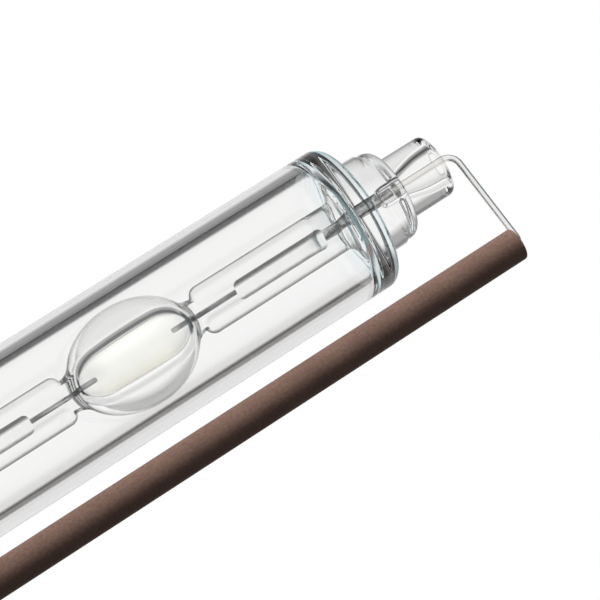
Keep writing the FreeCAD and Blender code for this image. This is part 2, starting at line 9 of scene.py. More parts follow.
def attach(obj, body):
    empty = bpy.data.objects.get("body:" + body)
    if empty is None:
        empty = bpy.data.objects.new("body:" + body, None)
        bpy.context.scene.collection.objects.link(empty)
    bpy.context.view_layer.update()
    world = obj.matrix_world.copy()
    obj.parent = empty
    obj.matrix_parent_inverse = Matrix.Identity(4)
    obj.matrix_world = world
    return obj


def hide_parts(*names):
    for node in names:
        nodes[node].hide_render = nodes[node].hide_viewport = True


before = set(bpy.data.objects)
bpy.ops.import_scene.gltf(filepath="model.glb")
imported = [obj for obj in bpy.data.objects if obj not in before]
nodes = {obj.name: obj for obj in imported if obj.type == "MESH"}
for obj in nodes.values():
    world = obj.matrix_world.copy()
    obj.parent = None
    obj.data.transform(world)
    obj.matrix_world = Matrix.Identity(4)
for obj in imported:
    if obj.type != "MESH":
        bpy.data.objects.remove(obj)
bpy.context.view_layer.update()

# The lamp stands on the rear rim of its cap. Its axis is the upright line x = 0, y = 0, and
# the arc burns 54.7 mm up that line. All of its sizes below are millimetres from the arc.
MM = 0.001
ARC_HEIGHT = 54.7
view_settings = bpy.context.scene.view_settings
view_settings.view_transform = "Standard"
bpy.context.scene.cycles.max_bounces = 40
bpy.context.scene.cycles.transmission_bounces = 36
bpy.context.scene.cycles.transparent_max_bounces = 16


def at(x, y, along):
    """A point of the lamp in metres, from millimetres across and along its axis."""
    return Vector((x * MM, y * MM, (ARC_HEIGHT + along) * MM))


# Camera: a long lens close to the glass, with the lamp lying up to the right across the
# picture and its tip a little further away than its cap.
SLANT = math.radians(32.55)
AWAY = math.radians(12.5)
WIRE_SIDE = math.radians(16.5)
DEPTH = 130.2 * MM
LENS_PIXELS = 2340.0
ARC_PIXEL = (133.0, 356.0)
lamp_up = Vector((math.cos(AWAY) * math.cos(SLANT), math.cos(AWAY) * math.sin(SLANT), -math.sin(AWAY)))
picture_down = Vector((math.sin(SLANT), -math.cos(SLANT), 0))
towards_lens = Vector((math.sin(AWAY) * math.cos(SLANT), math.sin(AWAY) * math.sin(SLANT), math.cos(AWAY)))
lamp_x = picture_down * math.cos(WIRE_SIDE) + towards_lens * math.sin(WIRE_SIDE)
lamp_y = lamp_up.cross(lamp_x)
turn = Matrix((lamp_x, lamp_y, lamp_up))
arc_seen = Vector((ARC_PIXEL[0] - 300, 300 - ARC_PIXEL[1], -LENS_PIXELS)) * (DEPTH / LENS_PIXELS)
camera_data = bpy.data.cameras.new("photo_camera")
camera_data.sensor_width = 36
camera_data.lens = LENS_PIXELS * 36 / 600
camera_data.clip_start = 0.001
camera = bpy.data.objects.new("photo_camera", camera_data)
camera.matrix_world = Matrix.Translation(at(0, 0, 0) - turn @ arc_seen) @ turn.to_4x4()
bpy.context.scene.collection.objects.link(camera)
bpy.context.scene.camera = camera

# Quartz: the discharge vessel with its flat pinches, the round stems and the outer bulb that
# is shrunk on to them. It is all fused into one piece of glass, so it is one mesh here: an
# outer skin turned on the lathe, the skin of the gas space, and the skin of the arc's cavity.
TURNS = 144
BULB_RADIUS = 4.5
BULB_WALL = 0.72
CYLINDER_FRONT = 14.2
CYLINDER_REAR = -20.6
SHOULDER_HEIGHT = 1.2
NECK_RADIUS = 2.92
NECK_LENGTH = 1.4
LIP_RADIUS = 2.8
LIP_LENGTH = 1.05
LIP_CORNER = 0.72
SHOULDER_CORNER = 0.9
INSIDE_CORNER = 1.15
END_WALL = 1.0
STEM_RADIUS = 1.92
STEM_FRONT = 20.8
STEM_REAR = -30.4
PINCH_TURN = math.radians(36)


def quartz_with_painted_edge_shade(name, clear, edge, begin, finish, alpha=1.0):
    """Clear quartz with painted shade: its colour darkens towards the edge colour where a ray grazes the
    surface.
    """
    paint = bpy.data.materials.new(name)
    paint.use_nodes = True
    tree = paint.node_tree
    shader = tree.nodes["Principled BSDF"]
    shader.inputs["Transmission Weight"].default_value = 1.0
    shader.inputs["Roughness"].default_value = 0.0
    shader.inputs["IOR"].default_value = 1.458
    shader.inputs["Alpha"].default_value = alpha
    # Painted shade: a Fresnel ramp darkens the glass colour at grazing angles, which draws dark edge lines.
    graze = tree.nodes.new("ShaderNodeFresnel")
    graze.inputs["IOR"].default_value = 1.458
    shade = tree.nodes.new("ShaderNodeValToRGB")
    shade.color_ramp.elements[0].position = begin
    shade.color_ramp.elements[0].color = (*clear, 1)
    shade.color_ramp.elements[1].position = finish
    shade.color_ramp.elements[1].color = (*edge, 1)
    tree.links.new(graze.outputs["Fac"], shade.inputs["Fac"])
    tree.links.new(shade.outputs["Color"], shader.inputs["Base Color"])
    return paint


def clear_selection():
    if bpy.context.object and bpy.context.object.mode == "EDIT":
        bpy.ops.object.mode_set(mode="OBJECT")
    bpy.ops.object.select_all(action="DESELECT")


def arc_points(centre, radius, start, end, steps):
    """Points of a rounded corner in (radius, along) millimetres, angles in degrees."""
    points = []
    for step in range(steps + 1):
        angle = math.radians(start + (end - start) * step / steps)
        points.append((centre[0] + radius * math.cos(angle), centre[1] + radius * math.sin(angle)))
    return points


def lathe(name, profile, turns=TURNS, centre=(0, 0)):
    """Draw a profile of (radius, along) point by point and spin it round the lamp's axis."""
    clear_selection()
    mesh = bpy.data.meshes.new(name)
    piece = bpy.data.objects.new(name, mesh)
    bpy.context.scene.collection.objects.link(piece)
    bpy.context.view_layer.objects.active = piece
    piece.select_set(True)
    first = at(profile[0][0] + centre[0], centre[1], profile[0][1])
    bpy.ops.object.mode_set(mode="EDIT")
    edit = bmesh.from_edit_mesh(mesh)
    edit.verts.new(first)
    bmesh.update_edit_mesh(mesh)
    bpy.ops.mesh.select_all(action="SELECT")
    for before, after in zip(profile, profile[1:]):
        step = ((after[0] - before[0]) * MM, 0, (after[1] - before[1]) * MM)
        bpy.ops.mesh.extrude_region_move(TRANSFORM_OT_translate={"value": step})
    bpy.ops.mesh.select_all(action="SELECT")
    pole = (centre[0] * MM, centre[1] * MM, 0)
    bpy.ops.mesh.spin(steps=turns, angle=math.tau, center=pole, axis=(0, 0, 1), use_auto_merge=True)
    bpy.ops.mesh.select_all(action="SELECT")
    bpy.ops.mesh.remove_doubles(threshold=2e-7)
    bpy.ops.mesh.normals_make_consistent(inside=False)
    bpy.ops.object.mode_set(mode="OBJECT")
    return piece


def bore_profile(end, sign):
    """The round stem's melted rim and its open bell bore, down to the closed bottom."""
    rim = [(1.92, -0.36), (1.905, -0.2), (1.85, -0.09), (1.76, -0.025), (1.64, 0.0)]
    rim += [(1.45, 0.0), (1.28, -0.005), (1.12, -0.03), (1.02, -0.09), (0.96, -0.19)]
    bell = [(0.935, -0.4), (0.92, -0.85), (0.88, -1.3), (0.80, -1.75), (0.69, -2.25)]
    bell += [(0.58, -2.7), (0.50, -3.1)]
    bore = [(0.465, -3.4), (0.46, -3.7), (0.46, -4.1), (0.43, -4.32), (0.34, -4.46)]
    bore += [(0.18, -4.5), (0.0, -4.5)]
    return [(radius, end + depth * sign) for radius, depth in rim + bell + bore]


shoulder_end = CYLINDER_FRONT + SHOULDER_HEIGHT
neck_end = shoulder_end + NECK_LENGTH
front = [(STEM_RADIUS, neck_end + LIP_LENGTH + 0.02), (2.02, neck_end + LIP_LENGTH)]
front += arc_points((LIP_RADIUS - LIP_CORNER, neck_end + LIP_LENGTH - LIP_CORNER), LIP_CORNER, 78, 0, 8)
front += [(LIP_RADIUS, neck_end + 0.12), (2.84, neck_end + 0.02), (NECK_RADIUS, neck_end - 0.08)]
front += [(NECK_RADIUS, shoulder_end + 0.35), (2.97, shoulder_end + 0.12), (3.12, shoulder_end + 0.01)]
shoulder_centre = BULB_RADIUS - SHOULDER_CORNER
front += arc_points((shoulder_centre, shoulder_end - SHOULDER_CORNER), SHOULDER_CORNER, 88, 0, 14)
rear_shoulder = CYLINDER_REAR - SHOULDER_HEIGHT
rear_neck = rear_shoulder - NECK_LENGTH
rear = arc_points((shoulder_centre, rear_shoulder + SHOULDER_CORNER), SHOULDER_CORNER, 0, -88, 14)
rear += [(3.12, rear_shoulder - 0.01), (2.97, rear_shoulder - 0.12), (NECK_RADIUS, rear_shoulder - 0.35)]
rear += [(NECK_RADIUS, rear_neck + 0.08), (2.84, rear_neck - 0.02), (LIP_RADIUS, rear_neck - 0.12)]
rear += arc_points((LIP_RADIUS - LIP_CORNER, rear_neck - LIP_LENGTH + LIP_CORNER), LIP_CORNER, 0, -78, 8)
rear += [(2.02, rear_neck - LIP_LENGTH), (STEM_RADIUS, rear_neck - LIP_LENGTH - 0.02)]
skin_profile = list(reversed(bore_profile(STEM_FRONT, 1))) + front + rear
skin_profile += bore_profile(STEM_REAR, -1)
quartz = lathe("quartz_glass", skin_profile)
# Painted shade in the glass colour at grazing angles: near-black edges on the stems, necks and lips, pale
# grey on the bulb's cylinder, and teal shade on its shoulders.
stem_quartz = quartz_with_painted_edge_shade("stem_quartz", (0.99, 0.99, 0.985), (0.02, 0.022, 0.022), 0.07, 0.3)
bulb_quartz = quartz_with_painted_edge_shade("bulb_quartz", (0.985, 0.985, 0.98), (0.80, 0.82, 0.82), 0.2, 0.9)
shoulder_quartz = quartz_with_painted_edge_shade("shoulder_quartz", (0.93, 0.985, 0.995), (0.06, 0.47, 0.64), 0.08, 0.34, 0.95)
for paint in (stem_quartz, bulb_quartz, shoulder_quartz):
    quartz.data.materials.append(paint)
for face in quartz.data.polygons:
    along = face.center.z / MM - ARC_HEIGHT
    wide = math.hypot(face.center.x, face.center.y) / MM
    if wide > 3.2:
        on_cylinder = CYLINDER_REAR + 0.01 < along < CYLINDER_FRONT - 0.01
        face.material_index = 1 if on_cylinder else 2

inner_radius = BULB_RADIUS - BULB_WALL
inside_front = shoulder_end - END_WALL
inside_rear = rear_shoulder + END_WALL
inside_centre = inner_radius - INSIDE_CORNER
gas = [(STEM_RADIUS, inside_front), (STEM_RADIUS + 0.1, inside_front)]
gas += arc_points((inside_centre, inside_front - INSIDE_CORNER), INSIDE_CORNER, 88, 0, 14)
gas += arc_points((inside_centre, inside_rear + INSIDE_CORNER), INSIDE_CORNER, 0, -88, 14)
gas += [(STEM_RADIUS + 0.1, inside_rear), (STEM_RADIUS, inside_rear)]
gas_wall = lathe("gas_wall", gas)
# Painted shade in the colour of the gas space's skin: a dark grey band at grazing angles that clears again
# further out, and teal shade at its rounded ends.
wall_quartz = quartz_with_painted_edge_shade("gas_wall_quartz", (0.98, 0.985, 0.98), (0.17, 0.175, 0.17), 0.085, 0.115)
painted_wall_shade_stops = wall_quartz.node_tree.nodes["Color Ramp"].color_ramp.elements
for stop, level in ((0.36, 0.17), (0.5, 0.93)):
    clearing = painted_wall_shade_stops.new(stop)
    clearing.color = (level, level, level, 1)
gas_wall.data.materials.append(wall_quartz)
corner_quartz = quartz_with_painted_edge_shade("gas_corner_quartz", (0.97, 0.99, 0.995), (0.16, 0.52, 0.64), 0.12, 0.6)
gas_wall.data.materials.append(corner_quartz)
for face in gas_wall.data.polygons:
    along = face.center.z / MM - ARC_HEIGHT
    face.material_index = int(along > inside_front - 1.05 or along < inside_rear + 1.05)


VESSEL_RADIUS = 3.07
VESSEL_HALF_LENGTH = 3.95
WEB_HALF_WIDTH = 0.92
WEB_HALF_THICKNESS = 0.47
BEAD_RADIUS = 0.6
PINCH_START = 4.9
PINCH_END = 15.0
STEM_START = 12.1


def blend(first, second, width):
    """Smooth union of two distance fields, which leaves a melted fillet."""
    mix = np.clip(0.5 + 0.5 * (second - first) / width, 0, 1)
    return second * (1 - mix) + first * mix - width * mix * (1 - mix)


def quartz_distance(x, y, z):
    """Distance field of the arc tube: vessel, beaded pinches and round stems."""
    across = x * math.cos(PINCH_TURN) + y * math.sin(PINCH_TURN)
    through = -x * math.sin(PINCH_TURN) + y * math.cos(PINCH_TURN)
    radius = np.hypot(x, y)
    reach = np.abs(z)
    vessel = np.sqrt((radius / VESSEL_RADIUS) ** 2 + (z / VESSEL_HALF_LENGTH) ** 2)
    vessel = (vessel - 1) * VESSEL_RADIUS / np.maximum(vessel, 0.3)
    web_x = np.abs(across) - WEB_HALF_WIDTH
    web_y = np.abs(through) - WEB_HALF_THICKNESS
    web = np.maximum(np.maximum(web_x, web_y), reach - PINCH_END)
    run = np.clip(reach, PINCH_START, PINCH_END)
    bead = np.sqrt(web_x ** 2 + through ** 2 + (reach - run) ** 2) - BEAD_RADIUS
    swell = np.clip(0.47 + (reach - 12.2) * 0.725, 0.3, 0.78) + np.clip((reach - 13.7) * 2.3, 0, 1.14)
    stem = np.maximum(radius - swell, STEM_START - reach)
    pinch = blend(web, bead, 0.16)
    joined = blend(vessel, pinch, 0.42)
    return blend(joined, stem, 0.5)


clear_selection()
rings = 420
tube_length = inside_front - inside_rear
middle = (inside_front + inside_rear) / 2
bpy.ops.mesh.primitive_cylinder_add(
    vertices=TURNS, radius=STEM_RADIUS * MM, depth=tube_length * MM,
    end_fill_type="NOTHING", location=at(0, 0, middle))
arc_skin = bpy.context.object
arc_skin.name = "arc_skin"
bpy.ops.object.transform_apply(location=True, rotation=True, scale=True)
bpy.ops.object.mode_set(mode="EDIT")
edit = bmesh.from_edit_mesh(arc_skin.data)
uprights = [edge for edge in edit.edges if abs(edge.verts[0].co.z - edge.verts[1].co.z) > 0.001]
bmesh.ops.subdivide_edges(edit, edges=uprights, cuts=rings - 1, use_grid_fill=True)
bmesh.update_edit_mesh(arc_skin.data)
bpy.ops.object.mode_set(mode="OBJECT")
count = len(arc_skin.data.vertices)
places = np.empty(count * 3)
arc_skin.data.vertices.foreach_get("co", places)
places = places.reshape(-1, 3)
height = places[:, 2] / MM - ARC_HEIGHT
round_angle = np.arctan2(places[:, 1], places[:, 0])
cosines, sines = np.cos(round_angle), np.sin(round_angle)
near, far = np.full(count, 0.2), np.full(count, 3.3)
for halving in range(34):
    middle_radius = (near + far) / 2
    outside = quartz_distance(middle_radius * cosines, middle_radius * sines, height) > 0
    far = np.where(outside, middle_radius, far)
    near = np.where(outside, near, middle_radius)
ends = (height > inside_front - 0.02) | (height < inside_rear + 0.02)
radius = np.where(ends, STEM_RADIUS, near)
places[:, 0] = radius * cosines * MM
places[:, 1] = radius * sines * MM
arc_skin.data.vertices.foreach_set("co", places.ravel())
arc_skin.data.update()
# Painted shade in the colour of the arc tube's skin: dark grey edges on the vessel and near-black lines along
# the pinches and stems.
vessel_quartz = quartz_with_painted_edge_shade("vessel_quartz", (0.99, 0.99, 0.985), (0.14, 0.14, 0.14), 0.12, 0.7)
pinch_quartz = quartz_with_painted_edge_shade("pinch_quartz", (0.985, 0.985, 0.98), (0.03, 0.03, 0.03), 0.05, 0.22)
arc_skin.data.materials.append(vessel_quartz)
arc_skin.data.materials.append(pinch_quartz)
for face in arc_skin.data.polygons:
    face.material_index = int(abs(face.center.z / MM - ARC_HEIGHT) > 4.1)



def dome_points(radius, start, rise, angles):
    """Points of the cavity's rounded end, from its pole out to its side."""
    radians = [math.radians(angle) for angle in angles]
    return [(radius * math.sin(a), start + rise * math.cos(a)) for a in radians]


cavity_profile = [(0.0, 3.2)] + dome_points(1.25, 1.5, 1.7, range(6, 90, 6))
cavity_profile += [(1.25, 1.5), (1.265, 0.75), (1.27, 0.0), (1.265, -0.75), (1.25, -1.5)]
cavity_profile += dome_points(1.25, -1.5, -1.7, range(84, 0, -6)) + [(0.0, -3.2)]
cavity = lathe("cavity_wall", cavity_profile, turns=96)
# Painted shade: a dark edge drawn round the cavity at grazing angles.
cavity_quartz = quartz_with_painted_edge_shade("cavity_quartz", (0.985, 0.985, 0.98), (0.10, 0.095, 0.085), 0.12, 0.45)
cavity.data.materials.append(cavity_quartz)
for hollow, inward in ((cavity, True), (gas_wall, False), (arc_skin, False)):
    clear_selection()
    hollow.select_set(True)
    bpy.context.view_layer.objects.active = hollow
    if inward:
        bpy.ops.object.mode_set(mode="EDIT")
        bpy.ops.mesh.select_all(action="SELECT")
        bpy.ops.mesh.flip_normals()
        bpy.ops.object.mode_set(mode="OBJECT")
clear_selection()
gas_wall.select_set(True)
arc_skin.select_set(True)
bpy.context.view_layer.objects.active = gas_wall
bpy.ops.object.join()
bpy.ops.object.mode_set(mode="EDIT")
bpy.ops.mesh.select_all(action="SELECT")
bpy.ops.mesh.remove_doubles(threshold=3e-6)
bpy.ops.mesh.normals_make_consistent(inside=True)
bpy.ops.object.mode_set(mode="OBJECT")
clear_selection()
for part in (gas_wall, cavity, quartz):
    part.select_set(True)
bpy.context.view_layer.objects.active = quartz
bpy.ops.object.join()
bpy.ops.object.shade_smooth_by_angle(angle=math.radians(50))

quartz.visible_shadow = False
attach(quartz, "root")
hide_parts("arc_tube", "outer_bulb")

# Salt deposit: the cream film of metal salts that has settled on the wall of the cavity.
# It is a closed thin shell, thickest in the middle and thinner towards the electrodes. Its
# cream deepens and darkens towards the side of the return wire: painted shade on the salts' own cream.
outer_film = dome_points(1.2, 1.48, 1.6, range(12, 90, 6))
outer_film += [(1.2, 1.48), (1.21, 0.7), (1.215, 0.0), (1.21, -0.7), (1.2, -1.48)]
outer_film += [(r, -z) for r, z in reversed(outer_film[:13])]
inner_film = [(r - 0.04 if abs(z) < 2.9 else r, z - 0.03 * z / 3.0)
              for r, z in reversed(outer_film)]
salt = lathe("salt_film", outer_film + inner_film + outer_film[:1], turns=96)
salt_paint = bpy.data.materials.new("settled_salts")
salt_paint.use_nodes = True
tree = salt_paint.node_tree
shader = tree.nodes["Principled BSDF"]
shader.inputs["Roughness"].default_value = 1.0
shader.inputs["Specular IOR Level"].default_value = 0.0
place = tree.nodes.new("ShaderNodeTexCoord")
cloud = tree.nodes.new("ShaderNodeTexNoise")
cloud.inputs["Scale"].default_value = 600
cloud.inputs["Detail"].default_value = 2
tint = tree.nodes.new("ShaderNodeValToRGB")
tint.color_ramp.elements[0].position = 0.35
tint.color_ramp.elements[0].color = (0.85, 0.845, 0.81, 1)
tint.color_ramp.elements[1].position = 0.6
tint.color_ramp.elements[1].color = (0.90, 0.895, 0.87, 1)
tree.links.new(place.outputs["Object"], cloud.inputs["Vector"])
tree.links.new(cloud.outputs["Fac"], tint.inputs["Fac"])
# Painted shade: the colour turns a darker, deeper cream towards the return wire's side.
across = tree.nodes.new("ShaderNodeMapping")
across.inputs["Rotation"].default_value = (0, 0, -WIRE_SIDE)
side = tree.nodes.new("ShaderNodeSeparateXYZ")
cream_and_shade_side = tree.nodes.new("ShaderNodeMapRange")
cream_and_shade_side.inputs["From Min"].default_value = 0.35 * MM
cream_and_shade_side.inputs["From Max"].default_value = 1.15 * MM
cream = tree.nodes.new("ShaderNodeMix")
cream.data_type = "RGBA"
cream.inputs["B"].default_value = (0.72, 0.69, 0.55, 1)
tree.links.new(place.outputs["Object"], across.inputs["Vector"])
tree.links.new(across.outputs["Vector"], side.inputs["Vector"])
tree.links.new(side.outputs["X"], cream_and_shade_side.inputs["Value"])
tree.links.new(cream_and_shade_side.outputs["Result"], cream.inputs["Factor"])
tree.links.new(tint.outputs["Color"], cream.inputs["A"])
tree.links.new(cream.outputs["Result"], shader.inputs["Base Color"])
reach = tree.nodes.new("ShaderNodeMath")
reach.operation = "SUBTRACT"
reach.inputs[1].default_value = ARC_HEIGHT * MM
reach_size = tree.nodes.new("ShaderNodeMath")
reach_size.operation = "ABSOLUTE"
fade = tree.nodes.new("ShaderNodeMapRange")
fade.interpolation_type = "SMOOTHSTEP"
fade.inputs["From Min"].default_value = 1.0 * MM
fade.inputs["From Max"].default_value = 2.9 * MM
fade.inputs["To Min"].default_value = 0.17
fade.inputs["To Max"].default_value = 0.025
tree.links.new(side.outputs["Z"], reach.inputs[0])
tree.links.new(reach.outputs["Value"], reach_size.inputs[0])
tree.links.new(reach_size.outputs["Value"], fade.inputs["Value"])
tree.links.new(fade.outputs["Result"], shader.inputs["Alpha"])
salt.data.materials.append(salt_paint)
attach(salt, "root")
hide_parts("salt_deposit")

# Electrodes: drawn tungsten rods sealed in the pinches, with tips rounded by the arc and
# bright streaks left along them by the drawing die.
tungsten = bpy.data.materials.new("tungsten")
tungsten.use_nodes = True
tree = tungsten.node_tree
shader = tree.nodes["Principled BSDF"]
shader.inputs["Metallic"].default_value = 1.0
shader.inputs["Roughness"].default_value = 0.18
place = tree.nodes.new("ShaderNodeTexCoord")
stretch = tree.nodes.new("ShaderNodeMapping")
stretch.inputs["Scale"].default_value = (1, 1, 0.12)
streak = tree.nodes.new("ShaderNodeTexNoise")
streak.inputs["Scale"].default_value = 6000
tint = tree.nodes.new("ShaderNodeValToRGB")
tint.color_ramp.elements[0].position = 0.36
tint.color_ramp.elements[0].color = (0.07, 0.07, 0.075, 1)
tint.color_ramp.elements[1].position = 0.64
tint.color_ramp.elements[1].color = (0.52, 0.52, 0.53, 1)
tree.links.new(place.outputs["Object"], stretch.inputs["Vector"])
tree.links.new(stretch.outputs["Vector"], streak.inputs["Vector"])
tree.links.new(streak.outputs["Fac"], tint.inputs["Fac"])
tree.links.new(tint.outputs["Color"], shader.inputs["Base Color"])
for name, sign in (("front_electrode", 1), ("rear_electrode", -1)):
    rod = [(0.0, 2.1), (0.06, 2.102), (0.11, 2.12), (0.14, 2.16), (0.15, 2.22)]
    rod += [(0.15, 7.97), (0.14, 8.0), (0.0, 8.0)]
    electrode = lathe(name + "_rod", [(r, z * sign) for r, z in rod], turns=32)
    bpy.ops.object.shade_smooth_by_angle(angle=math.radians(50))
    electrode.data.materials.append(tungsten)
    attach(electrode, "root")
    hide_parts(name)

# Foils: thin molybdenum strips sealed in the pinches, with painted shade along their long edges.
# The electrode is welded to one end of each and the lead to the other.
foil_metal = bpy.data.materials.new("molybdenum_foil")
foil_metal.use_nodes = True
tree = foil_metal.node_tree
shader = tree.nodes["Principled BSDF"]
shader.inputs["Metallic"].default_value = 1.0
place = tree.nodes.new("ShaderNodeTexCoord")
ripple = tree.nodes.new("ShaderNodeTexNoise")
ripple.inputs["Scale"].default_value = 2600
ripple.inputs["Detail"].default_value = 4
across = tree.nodes.new("ShaderNodeMapping")
across.inputs["Rotation"].default_value = (0, 0, -PINCH_TURN)
width = tree.nodes.new("ShaderNodeSeparateXYZ")
spread = tree.nodes.new("ShaderNodeMapRange")
spread.inputs["From Min"].default_value = -0.65 * MM
spread.inputs["From Max"].default_value = 0.65 * MM
# Painted shade: the colour is dark at one long edge, pale across the middle and grey at the other.
tint = tree.nodes.new("ShaderNodeValToRGB")
tint.color_ramp.elements[0].position = 0.16
tint.color_ramp.elements[0].color = (0.13, 0.13, 0.125, 1)
tint.color_ramp.elements[1].position = 0.34
tint.color_ramp.elements[1].color = (0.95, 0.95, 0.94, 1)
fade = tint.color_ramp.elements.new(0.78)
fade.color = (0.97, 0.97, 0.96, 1)
fade = tint.color_ramp.elements.new(0.95)
fade.color = (0.25, 0.25, 0.24, 1)
rough = tree.nodes.new("ShaderNodeMapRange")
rough.inputs["To Min"].default_value = 0.14
rough.inputs["To Max"].default_value = 0.24
bump = tree.nodes.new("ShaderNodeBump")
bump.inputs["Strength"].default_value = 0.35
bump.inputs["Distance"].default_value = 0.00004
tree.links.new(place.outputs["Object"], ripple.inputs["Vector"])
tree.links.new(place.outputs["Object"], across.inputs["Vector"])
tree.links.new(across.outputs["Vector"], width.inputs["Vector"])
tree.links.new(width.outputs["X"], spread.inputs["Value"])
tree.links.new(spread.outputs["Result"], tint.inputs["Fac"])
tree.links.new(ripple.outputs["Fac"], rough.inputs["Value"])
tree.links.new(ripple.outputs["Fac"], bump.inputs["Height"])
tree.links.new(tint.outputs["Color"], shader.inputs["Base Color"])
tree.links.new(rough.outputs["Result"], shader.inputs["Roughness"])
tree.links.new(bump.outputs["Normal"], shader.inputs["Normal"])
FOIL_WIDTH = 1.3
FOIL_THICKNESS = 0.05
FOIL_LENGTH = 6.0
FOIL_MIDDLE = 9.8
FOIL_OFFSET = 0.145
for name, sign in (("front_foil", 1), ("rear_foil", -1)):
    clear_selection()
    bpy.ops.mesh.primitive_cube_add(size=1, location=(0, 0, 0))
    foil = bpy.context.object
    foil.name = name + "_strip"
    foil.scale = (FOIL_WIDTH * MM, FOIL_THICKNESS * MM, FOIL_LENGTH * MM)
    bpy.ops.object.transform_apply(scale=True)
    bpy.ops.object.mode_set(mode="EDIT")
    edit = bmesh.from_edit_mesh(foil.data)
    bpy.ops.mesh.select_all(action="DESELECT")
    for corner in edit.edges:
        first, second = corner.verts
        corner.select = abs(first.co.y - second.co.y) > 0.01 * MM
    bmesh.update_edit_mesh(foil.data)
    bpy.ops.mesh.bevel(offset=0.34 * MM, segments=8, affect="EDGES")
    bpy.ops.object.mode_set(mode="OBJECT")
    foil.rotation_euler = (0, 0, PINCH_TURN)
    foil.location = at(FOIL_OFFSET * math.sin(PINCH_TURN), -FOIL_OFFSET * math.cos(PINCH_TURN),
                       FOIL_MIDDLE * sign)
    bpy.ops.object.transform_apply(location=True, rotation=True, scale=True)
    foil.data.materials.append(foil_metal)
    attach(foil, "root")
    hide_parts(name)

# Leads: drawn molybdenum rods from the foils. The front one ends in the bell of the stem,
# beside the return wire, and the rear one runs down through the cap to the centre contact.
lead_metal = bpy.data.materials.new("molybdenum_lead")
lead_metal.use_nodes = True
tree = lead_metal.node_tree
shader = tree.nodes["Principled BSDF"]
shader.inputs["Metallic"].default_value = 1.0
shader.inputs["Roughness"].default_value = 0.16
place = tree.nodes.new("ShaderNodeTexCoord")
stretch = tree.nodes.new("ShaderNodeMapping")
stretch.inputs["Scale"].default_value = (1, 1, 0.3)
streak = tree.nodes.new("ShaderNodeTexNoise")
streak.inputs["Scale"].default_value = 3600
tint = tree.nodes.new("ShaderNodeValToRGB")
tint.color_ramp.elements[0].position = 0.36
tint.color_ramp.elements[0].color = (0.06, 0.06, 0.063, 1)
tint.color_ramp.elements[1].position = 0.64
tint.color_ramp.elements[1].color = (0.62, 0.62, 0.62, 1)
tree.links.new(place.outputs["Object"], stretch.inputs["Vector"])
tree.links.new(stretch.outputs["Vector"], streak.inputs["Vector"])
tree.links.new(streak.outputs["Fac"], tint.inputs["Fac"])
tree.links.new(tint.outputs["Color"], shader.inputs["Base Color"])
lead_centre = (-0.13 * math.sin(PINCH_TURN), 0.13 * math.cos(PINCH_TURN))
for name, low, high in (("front_lead", 12.0, 17.2), ("rear_lead", -50.1, -12.0)):
    rod = [(0.0, low), (0.2, low), (0.26, low + 0.03), (0.28, low + 0.08)]
    rod += [(0.28, high - 0.08), (0.26, high - 0.03), (0.2, high), (0.0, high)]
    lead = lathe(name + "_rod", rod, turns=40, centre=lead_centre)
    bpy.ops.object.shade_smooth_by_angle(angle=math.radians(50))
    lead.data.materials.append(lead_metal)
    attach(lead, "root")
    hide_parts(name)

# Return wire: bright drawn wire, butt-welded to the front lead in the bell, bent over the tip
# and down through the ceramic tube to the side contact.
WIRE_RADIUS = 0.2
WIRE_TOP = 22.0
RETURN_DISTANCE = 6.6
wire_x = lead_centre[0]
wire_foot = 11.0 + 5.6 - 1.4 - ARC_HEIGHT
path = [(wire_x, 17.2), (wire_x, WIRE_TOP - 0.75)]
path += arc_points((wire_x + 0.75, WIRE_TOP - 0.75), 0.75, 180, 90, 12)[1:]
path += arc_points((RETURN_DISTANCE - 0.4, WIRE_TOP - 0.4), 0.4, 90, 0, 10)
path += arc_points((RETURN_DISTANCE + 0.8, wire_foot + 0.8), 0.8, 180, 270, 10)
path += [(9.9 - 0.02, wire_foot)]
wire_curve = bpy.data.curves.new("return_wire_bend", "CURVE")
wire_curve.dimensions = "3D"
wire_curve.bevel_depth = WIRE_RADIUS * MM
wire_curve.bevel_resolution = 6
wire_curve.use_fill_caps = True
run = wire_curve.splines.new("POLY")
run.points.add(len(path) - 1)
for point, (x, along) in zip(run.points, path):
    point.co = (*at(x, lead_centre[1], along), 1)
return_wire = bpy.data.objects.new("return_wire_bend", wire_curve)
bpy.context.scene.collection.objects.link(return_wire)
clear_selection()
return_wire.select_set(True)
bpy.context.view_layer.objects.active = return_wire
bpy.ops.object.convert(target="MESH")
return_wire = bpy.context.object
bpy.ops.object.shade_smooth_by_angle(angle=math.radians(60))
wire_metal = bpy.data.materials.new("bright_wire")
wire_metal.use_nodes = True
tree = wire_metal.node_tree
shader = tree.nodes["Principled BSDF"]
shader.inputs["Metallic"].default_value = 1.0
shader.inputs["Roughness"].default_value = 0.28
place = tree.nodes.new("ShaderNodeTexCoord")
streak = tree.nodes.new("ShaderNodeTexNoise")
streak.inputs["Scale"].default_value = 500
tint = tree.nodes.new("ShaderNodeValToRGB")
tint.color_ramp.elements[0].color = (0.80, 0.79, 0.77, 1)
tint.color_ramp.elements[1].color = (0.88, 0.87, 0.85, 1)
tree.links.new(place.outputs["Object"], streak.inputs["Vector"])
tree.links.new(streak.outputs["Fac"], tint.inputs["Fac"])
tree.links.new(tint.outputs["Color"], shader.inputs["Base Color"])
return_wire.data.materials.append(wire_metal)
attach(return_wire, "root")
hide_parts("return_wire")

